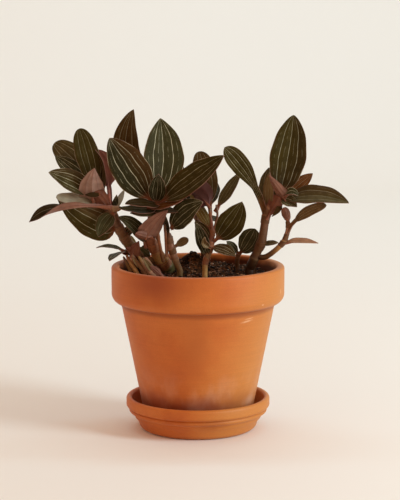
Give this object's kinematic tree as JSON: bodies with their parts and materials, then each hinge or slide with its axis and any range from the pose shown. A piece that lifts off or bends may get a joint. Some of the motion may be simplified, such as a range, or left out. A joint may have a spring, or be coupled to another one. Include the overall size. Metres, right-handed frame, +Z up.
{
  "type": "potted jewel orchid",
  "caption": "Leafy ground orchid with dark, pale-veined leaves on fleshy jointed stems, in a tapered terracotta pot with a thick collar that stands in a matching saucer.",
  "frame": {"origin": "centre of the saucer's flat underside", "axes": "+Z up along the axis of the pot and saucer, away from the face it stands on; the plant is seen from -Y, with +X to the viewer's right"},
  "size_m": [0.271, 0.1633, 0.2753],
  "materials": {
    "terracotta_saucer": "matte",
    "terracotta_pot": "matte",
    "soil": "matte",
    "shoot_left_leaf": "satin",
    "shoot_back_left_leaf": "satin",
    "shoot_centre_leaf": "satin",
    "shoot_slender_leaf": "satin",
    "shoot_centre_right_leaf": "satin",
    "shoot_back_leaf": "satin",
    "shoot_young_leaf": "satin",
    "shoot_right_leaf": "satin",
    "shoot_low_outer_leaf": "satin",
    "shoot_low_inner_leaf": "satin"
  },
  "bodies": {
    "root": {"saucer": "terracotta_saucer", "pot": "terracotta_pot", "soil": "soil", "shoot_left": "shoot_left_leaf", "shoot_back_left": "shoot_back_left_leaf", "shoot_centre": "shoot_centre_leaf", "shoot_slender": "shoot_slender_leaf", "shoot_centre_right": "shoot_centre_right_leaf", "shoot_back": "shoot_back_leaf", "shoot_young": "shoot_young_leaf", "shoot_right": "shoot_right_leaf", "shoot_low_outer": "shoot_low_outer_leaf", "shoot_low_inner": "shoot_low_inner_leaf"}
  },
  "joints": []
}
